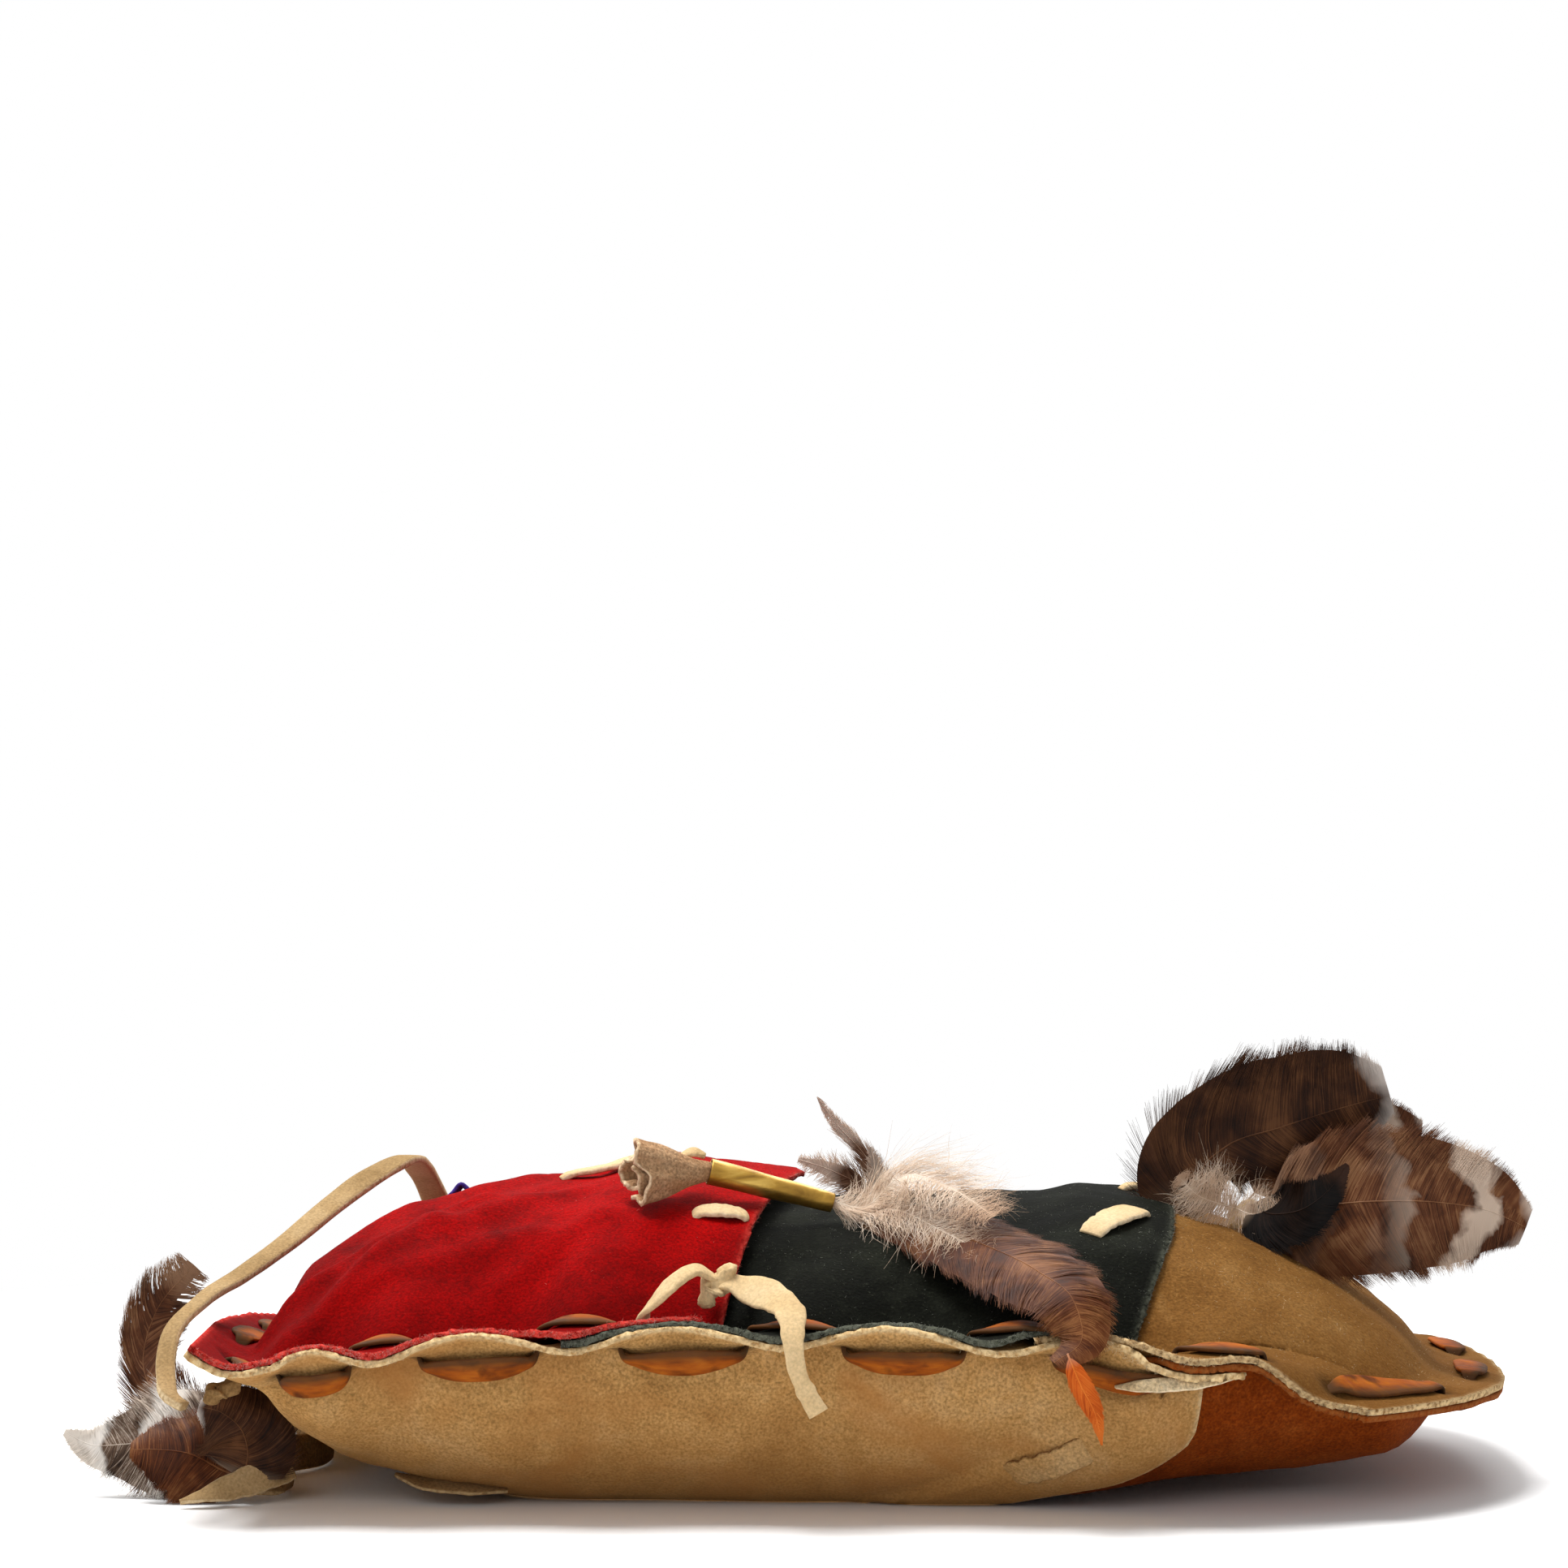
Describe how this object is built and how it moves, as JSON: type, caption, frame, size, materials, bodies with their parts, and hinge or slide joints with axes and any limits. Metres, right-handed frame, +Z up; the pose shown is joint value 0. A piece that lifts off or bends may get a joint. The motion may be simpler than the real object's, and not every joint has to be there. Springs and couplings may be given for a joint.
{
  "type": "shoulder bag",
  "caption": "Flat suede shoulder bag of pieced panels laced round the rim, with a lapped mouth, long flat strap and tied-on feathers, lying on its back.",
  "frame": {"origin": "on the floor under the middle of the pouch, on the flat underside of the beige back panel", "axes": "+X from the strap end to the rounded bottom, +Y from the near rim to the far rim, +Z up from the floor"},
  "size_m": [0.3625, 0.2863, 0.1095],
  "materials": {
    "red_suede": "matt napped suede",
    "green_suede": "matt napped suede with pale flecks",
    "tan_suede": "matt napped suede",
    "beige_suede": "matt napped suede, lightly soiled",
    "rust_suede": "matt napped suede",
    "orange_lace": "flat lace with a smooth face and dark edges",
    "pale_thong": "matt pale suede thong",
    "purple_suede": "matt napped suede",
    "aged_brass": "worn and tarnished",
    "brown_feather": "feather barbs with a satin sheen",
    "pale_down": "loose down",
    "barred_feather": "feather barbs with cream bars",
    "black_feather": "glossy feather barbs",
    "orange_feather": "feather barbs"
  },
  "bodies": {
    "root": {"front_panel_red": "red_suede", "front_panel_green": "green_suede", "front_panel_tan": "tan_suede", "back_panel_beige": "beige_suede", "back_panel_rust": "rust_suede", "edge_lace": "orange_lace", "mouth_tie": "pale_thong", "lap_stitch_red": "pale_thong", "lap_stitch_mouth": "pale_thong", "lap_stitch_green": "pale_thong", "lap_stitch_bottom": "pale_thong", "back_stitch_low": "beige_suede", "near_tube": "aged_brass", "near_tassel": "beige_suede", "near_down": "pale_down", "near_feather_brown": "brown_feather", "near_feather_orange": "orange_feather", "far_tube": "aged_brass", "far_tassel": "beige_suede", "far_feather_low": "brown_feather", "far_feather_tall": "brown_feather", "far_feather_short": "brown_feather", "bottom_knot": "pale_thong", "bottom_feather_dark": "brown_feather", "bottom_feather_grey": "barred_feather", "bottom_feather_barred": "barred_feather", "bottom_feather_black": "black_feather", "purple_tab": "purple_suede", "shoulder_strap": "pale_thong", "strap_tail": "beige_suede", "strap_knot_near": "pale_thong", "strap_knot_far": "pale_thong", "tail_feather_barred": "barred_feather", "tail_feather_brown": "brown_feather", "tail_feather_dark": "brown_feather", "tail_feather_standing": "brown_feather"}
  },
  "joints": []
}
